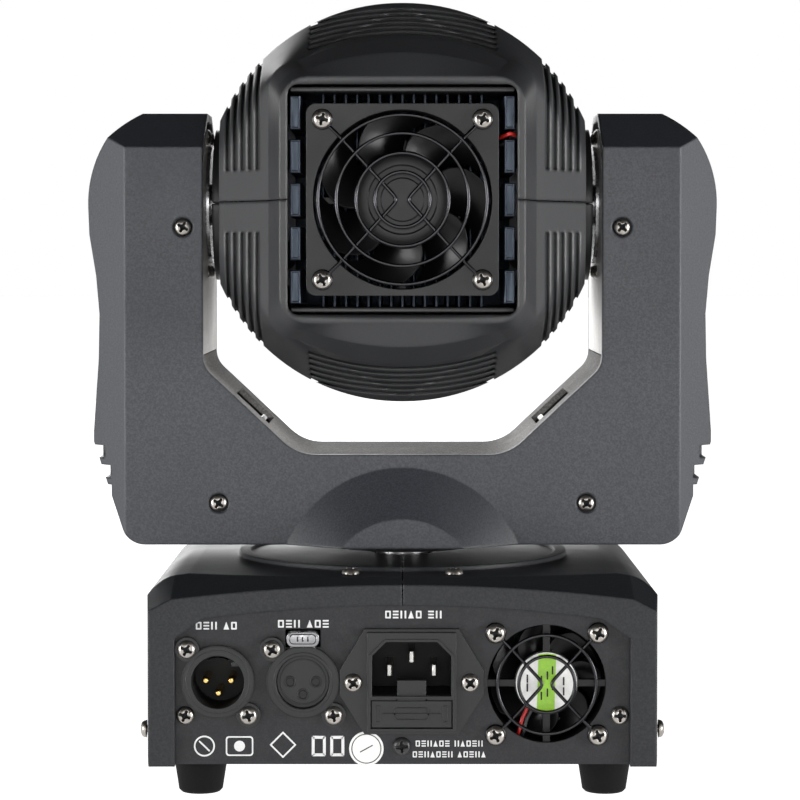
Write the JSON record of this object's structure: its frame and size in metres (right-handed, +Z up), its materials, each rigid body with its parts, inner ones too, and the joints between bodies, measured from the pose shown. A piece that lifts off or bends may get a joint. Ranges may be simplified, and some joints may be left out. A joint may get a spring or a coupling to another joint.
{
  "type": "moving head light",
  "caption": "Compact moving head stage light: a base with a rear connector panel, a U-shaped yoke that pans on it and a drum-shaped head that tilts in the yoke.",
  "frame": {"origin": "pan axis at the level of the floor under the rubber feet", "axes": "+Z up along the pan axis, -Y towards the lens, +Y towards the connector panel, X along the tilt axis"},
  "size_m": [0.2088, 0.1512, 0.2535],
  "materials": {
    "housing_plastic": "fine textured charcoal",
    "head_plastic": "satin black",
    "panel_steel": "black powder coat",
    "plate_steel": "black powder coat",
    "liner_steel": "satin",
    "frame_steel": "zinc plated",
    "column_steel": "turned",
    "bearing_steel": "ground",
    "screw_nickel": "nickel plated",
    "foot_rubber": "moulded",
    "connector_metal": "nickel plated",
    "connector_plastic": "moulded black",
    "contact_gold": "gold plated",
    "contact_nickel": "nickel plated",
    "fan_plastic": "moulded black",
    "guard_wire": "black gloss",
    "board": "solder masked board",
    "display": "tinted window",
    "button_plastic": "moulded",
    "pulley_plastic": "moulded nylon",
    "belt_rubber": "moulded",
    "motor_steel": "laminated steel",
    "sink_aluminium": "blue grey anodised",
    "led_board": "white star board",
    "barrel_metal": "matt black",
    "lens_glass": "polished",
    "bezel_plastic": "satin",
    "wheel_metal": "etched"
  },
  "bodies": {
    "base": {"base_plate": "plate_steel", "base_cover_left": "housing_plastic", "base_cover_right": "housing_plastic", "rear_panel": "panel_steel", "front_panel": "panel_steel", "rubber_feet": "foot_rubber", "xlr_input_shell": "connector_plastic", "xlr_input_pins": "contact_gold", "xlr_output_shell": "connector_plastic", "xlr_output_insert": "connector_plastic", "power_inlet": "connector_plastic", "inlet_pins": "contact_nickel", "base_fan_frame": "fan_plastic", "base_fan_guard": "guard_wire", "base_fan_screws": "screw_nickel", "panel_screws": "screw_nickel", "base_cover_screws": "screw_nickel", "power_supply_board": "board", "control_board": "board", "display_window": "display", "pan_column": "column_steel", "pan_fixed_pulley": "pulley_plastic"},
    "latch": {"xlr_latch": "connector_metal"},
    "fuse_holder": {"fuse_drawer": "connector_plastic"},
    "base_fan": {"base_fan_rotor": "fan_plastic"},
    "button_1": {"menu_button_1": "button_plastic"},
    "button_2": {"menu_button_2": "button_plastic"},
    "button_3": {"menu_button_3": "button_plastic"},
    "button_4": {"menu_button_4": "button_plastic"},
    "yoke": {"yoke_frame": "frame_steel", "yoke_rear_cover": "housing_plastic", "yoke_front_cover": "housing_plastic", "arm_liner_left": "liner_steel", "arm_liner_right": "liner_steel", "crossbar_liners": "liner_steel", "yoke_cover_screws": "screw_nickel", "pan_bearing": "bearing_steel", "pan_motor": "motor_steel", "pan_belt": "belt_rubber", "tilt_motor": "motor_steel", "tilt_belt": "belt_rubber", "tilt_bearings": "bearing_steel"},
    "pan_pinion": {"pan_motor_pulley": "pulley_plastic"},
    "tilt_pinion": {"tilt_motor_pulley": "pulley_plastic"},
    "head": {"head_upper_shell": "head_plastic", "head_lower_shell": "head_plastic", "heat_sink": "sink_aluminium", "head_fan_frame": "fan_plastic", "head_fan_guard": "guard_wire", "head_fan_screws": "screw_nickel", "led_module": "led_board", "optics_barrel": "barrel_metal", "front_lens": "lens_glass", "lens_bezel": "bezel_plastic", "wheel_motors": "motor_steel", "tilt_shafts": "column_steel", "tilt_drive_pulley": "pulley_plastic"},
    "head_fan": {"head_fan_rotor": "fan_plastic"},
    "color_filter": {"color_wheel": "wheel_metal"},
    "gobo_filter": {"gobo_wheel": "wheel_metal"}
  },
  "joints": [
    {"name": "pan", "type": "hinge", "parent": "base", "child": "yoke", "pos_m": [0, 0, 0.08], "axis": [0, 0, 1], "range_deg": [-270, 270]},
    {"name": "tilt", "type": "hinge", "parent": "yoke", "child": "head", "pos_m": [0, 0, 0.1885], "axis": [-1, 0, 0], "range_deg": [-45, 225]},
    {"name": "pan_pinion_spin", "type": "hinge", "parent": "yoke", "child": "pan_pinion", "pos_m": [0.072, 0, 0.09], "axis": [0, 0, 1], "range_deg": [-900, 900]},
    {"name": "tilt_pinion_spin", "type": "hinge", "parent": "yoke", "child": "tilt_pinion", "pos_m": [-0.0734, 0, 0.14], "axis": [-1, 0, 0], "range_deg": [-150, 750]},
    {"name": "head_fan_spin", "type": "hinge", "parent": "head", "child": "head_fan", "pos_m": [0, 0.064, 0.1885], "axis": [0, 1, 0], "continuous": true},
    {"name": "base_fan_spin", "type": "hinge", "parent": "base", "child": "base_fan", "pos_m": [-0.0451, 0.066, 0.0372], "axis": [0, 1, 0], "continuous": true},
    {"name": "color_wheel_spin", "type": "hinge", "parent": "head", "child": "color_filter", "pos_m": [-0.024, 0.0046, 0.1885], "axis": [0, 1, 0], "continuous": true},
    {"name": "gobo_wheel_spin", "type": "hinge", "parent": "head", "child": "gobo_filter", "pos_m": [0.024, -0.0014, 0.1885], "axis": [0, 1, 0], "continuous": true},
    {"name": "fuse_drawer_pull", "type": "slide", "parent": "base", "child": "fuse_holder", "axis": [0, 1, 0], "range_m": [0, 0.02]},
    {"name": "xlr_latch_push", "type": "slide", "parent": "base", "child": "latch", "axis": [0, -1, 0], "range_m": [0, 0.0015], "stiffness_N_per_m": 600},
    {"name": "button_1_press", "type": "slide", "parent": "base", "child": "button_1", "axis": [0, 1, 0], "range_m": [0, 0.0008], "stiffness_N_per_m": 500},
    {"name": "button_2_press", "type": "slide", "parent": "base", "child": "button_2", "axis": [0, 1, 0], "range_m": [0, 0.0008], "stiffness_N_per_m": 500},
    {"name": "button_3_press", "type": "slide", "parent": "base", "child": "button_3", "axis": [0, 1, 0], "range_m": [0, 0.0008], "stiffness_N_per_m": 500},
    {"name": "button_4_press", "type": "slide", "parent": "base", "child": "button_4", "axis": [0, 1, 0], "range_m": [0, 0.0008], "stiffness_N_per_m": 500}
  ],
  "couplings": [
    {"joint": "pan_pinion_spin", "follows": "pan", "ratio": -3.3333},
    {"joint": "tilt_pinion_spin", "follows": "tilt", "ratio": 3.3333}
  ]
}
